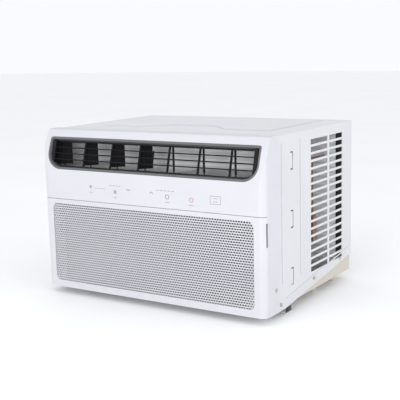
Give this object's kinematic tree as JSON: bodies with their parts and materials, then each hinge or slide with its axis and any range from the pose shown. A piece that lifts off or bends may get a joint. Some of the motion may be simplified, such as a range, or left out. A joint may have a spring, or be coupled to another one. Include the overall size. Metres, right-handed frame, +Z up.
{
  "type": "window air conditioner",
  "caption": "Window air conditioner: white plastic front with perforated intake grille and top air outlet, vented steel cabinet on a base pan.",
  "frame": {"origin": "floor level under the middle of the whole unit", "axes": "+X across the front to the right as seen from the room, +Y back to the outdoor side, +Z up"},
  "size_m": [0.601, 0.445, 0.391],
  "materials": {
    "white_plastic": "satin moulded",
    "bezel_plastic": "satin moulded",
    "black_plastic": "fine moulded",
    "duct_plastic": "moulded foam and plastic",
    "white_paint": "smooth baked enamel",
    "pan_paint": "coated steel",
    "galvanised": "zinc coated",
    "screw_steel": "zinc plated",
    "fin_metal": "bare fins",
    "copper": "drawn tube",
    "compressor_paint": "semi-gloss enamel",
    "motor_steel": "pressed shell",
    "shaft_steel": "ground",
    "fan_plastic": "moulded",
    "rubber": "moulded",
    "filter_plastic": "moulded",
    "filter_net": "woven net",
    "board": "circuit board",
    "capacitor_metal": "drawn can",
    "seal_foam": "closed-cell foam",
    "pipe_lagging": "foam sleeve"
  },
  "bodies": {
    "cabinet": {"accumulator": "compressor_paint", "air_duct": "duct_plastic", "base_pan": "pan_paint", "blower_housing": "duct_plastic", "bottom_rail": "galvanised", "bulkhead": "galvanised", "cabinet_screws": "screw_steel", "cabinet_shell": "white_paint", "capillary_tube": "copper", "coil_sensor": "copper", "compressor": "compressor_paint", "compressor_grommets": "rubber", "compressor_nuts": "screw_steel", "condenser_bends": "copper", "condenser_coil": "fin_metal", "condenser_shroud": "duct_plastic", "control_box": "galvanised", "control_box_cover": "galvanised", "cord_inlet_bush": "rubber", "discharge_line": "copper", "drain_plug": "rubber", "evaporator_bends": "copper", "evaporator_coil": "fin_metal", "fan_motor": "motor_steel", "filter_drier": "copper", "front_frame": "white_plastic", "front_screws": "screw_steel", "grille_hinge_pins": "screw_steel", "inlet_ring": "duct_plastic", "louvre_frame": "black_plastic", "motor_bracket": "galvanised", "outlet_bezel": "bezel_plastic", "power_board": "board", "rail_bolts": "screw_steel", "rear_feet": "pan_paint", "run_capacitor": "capacitor_metal", "shroud_seals": "seal_foam", "suction_line": "pipe_lagging", "terminal_cover": "fan_plastic", "touch_board": "board"},
    "grille": {"intake_grille": "white_plastic", "grille_screen": "white_plastic"},
    "filter": {"filter_frame": "filter_plastic", "filter_mesh": "filter_net"},
    "rotor": {"motor_shaft": "shaft_steel", "blower_wheel": "fan_plastic", "axial_fan": "fan_plastic"},
    "vane_left_1": {"vane_left_1": "black_plastic"},
    "vane_left_2": {"vane_left_2": "black_plastic"},
    "vane_left_3": {"vane_left_3": "black_plastic"},
    "vane_left_4": {"vane_left_4": "black_plastic"},
    "vane_right_1": {"vane_right_1": "black_plastic"},
    "vane_right_2": {"vane_right_2": "black_plastic"},
    "vane_right_3": {"vane_right_3": "black_plastic"},
    "vane_link_left": {"vane_link_left": "black_plastic"},
    "vane_link_right": {"vane_link_right": "black_plastic"},
    "louvre_1": {"louvre_1": "black_plastic"},
    "louvre_2": {"louvre_2": "black_plastic"},
    "louvre_3": {"louvre_3": "black_plastic"},
    "louvre_link": {"louvre_link": "black_plastic"}
  },
  "joints": [
    {"name": "grille_tilt", "type": "hinge", "parent": "cabinet", "child": "grille", "pos_m": [0, -0.2135, 0.0212], "axis": [1, 0, 0], "range_deg": [0, 30]},
    {"name": "filter_slide", "type": "slide", "parent": "grille", "child": "filter", "axis": [0, 0, 1], "range_m": [0, 0.045]},
    {"name": "fan_spin", "type": "hinge", "parent": "cabinet", "child": "rotor", "pos_m": [-0.06, 0, 0.152], "axis": [0, 1, 0], "continuous": true},
    {"name": "vane_left_1_turn", "type": "hinge", "parent": "cabinet", "child": "vane_left_1", "pos_m": [-0.264, -0.1805, 0.33], "axis": [0, 0, 1], "range_deg": [-3, 87]},
    {"name": "vane_left_2_turn", "type": "hinge", "parent": "cabinet", "child": "vane_left_2", "pos_m": [-0.1855, -0.1805, 0.33], "axis": [0, 0, 1], "range_deg": [-3, 87]},
    {"name": "vane_left_3_turn", "type": "hinge", "parent": "cabinet", "child": "vane_left_3", "pos_m": [-0.107, -0.1805, 0.33], "axis": [0, 0, 1], "range_deg": [-3, 87]},
    {"name": "vane_left_4_turn", "type": "hinge", "parent": "cabinet", "child": "vane_left_4", "pos_m": [-0.0285, -0.1805, 0.33], "axis": [0, 0, 1], "range_deg": [-3, 87]},
    {"name": "vane_link_left_slide", "type": "slide", "parent": "cabinet", "child": "vane_link_left", "axis": [1, 0, 0], "range_m": [-0.02343, 0.001]},
    {"name": "vane_right_1_turn", "type": "hinge", "parent": "cabinet", "child": "vane_right_1", "pos_m": [0.05, -0.1805, 0.33], "axis": [0, 0, 1], "range_deg": [-78, 12]},
    {"name": "vane_right_2_turn", "type": "hinge", "parent": "cabinet", "child": "vane_right_2", "pos_m": [0.1285, -0.1805, 0.33], "axis": [0, 0, 1], "range_deg": [-78, 12]},
    {"name": "vane_right_3_turn", "type": "hinge", "parent": "cabinet", "child": "vane_right_3", "pos_m": [0.207, -0.1805, 0.33], "axis": [0, 0, 1], "range_deg": [-78, 12]},
    {"name": "vane_link_right_slide", "type": "slide", "parent": "cabinet", "child": "vane_link_right", "axis": [1, 0, 0], "range_m": [-0.0034, 0.02103]},
    {"name": "louvre_1_tilt", "type": "hinge", "parent": "cabinet", "child": "louvre_1", "pos_m": [0, -0.2105, 0.32217], "axis": [1, 0, 0], "range_deg": [-25, 25]},
    {"name": "louvre_2_tilt", "type": "hinge", "parent": "cabinet", "child": "louvre_2", "pos_m": [0, -0.2068, 0.33561], "axis": [1, 0, 0], "range_deg": [-25, 25]},
    {"name": "louvre_3_tilt", "type": "hinge", "parent": "cabinet", "child": "louvre_3", "pos_m": [0, -0.2031, 0.34905], "axis": [1, 0, 0], "range_deg": [-25, 25]},
    {"name": "louvre_link_slide", "type": "slide", "parent": "cabinet", "child": "louvre_link", "axis": [0, 0.2653, 0.9642], "range_m": [-0.0017, 0.0017]}
  ],
  "couplings": [
    {"joint": "vane_left_2_turn", "follows": "vane_left_1_turn", "ratio": 1},
    {"joint": "vane_left_3_turn", "follows": "vane_left_1_turn", "ratio": 1},
    {"joint": "vane_left_4_turn", "follows": "vane_left_1_turn", "ratio": 1},
    {"joint": "vane_link_left_slide", "follows": "vane_left_1_turn", "m_per_rad": -0.0153},
    {"joint": "vane_right_2_turn", "follows": "vane_right_1_turn", "ratio": 1},
    {"joint": "vane_right_3_turn", "follows": "vane_right_1_turn", "ratio": 1},
    {"joint": "vane_link_right_slide", "follows": "vane_right_1_turn", "m_per_rad": -0.0153},
    {"joint": "louvre_2_tilt", "follows": "louvre_1_tilt", "ratio": 1},
    {"joint": "louvre_3_tilt", "follows": "louvre_1_tilt", "ratio": 1},
    {"joint": "louvre_link_slide", "follows": "louvre_1_tilt", "m_per_rad": 0.0034}
  ]
}
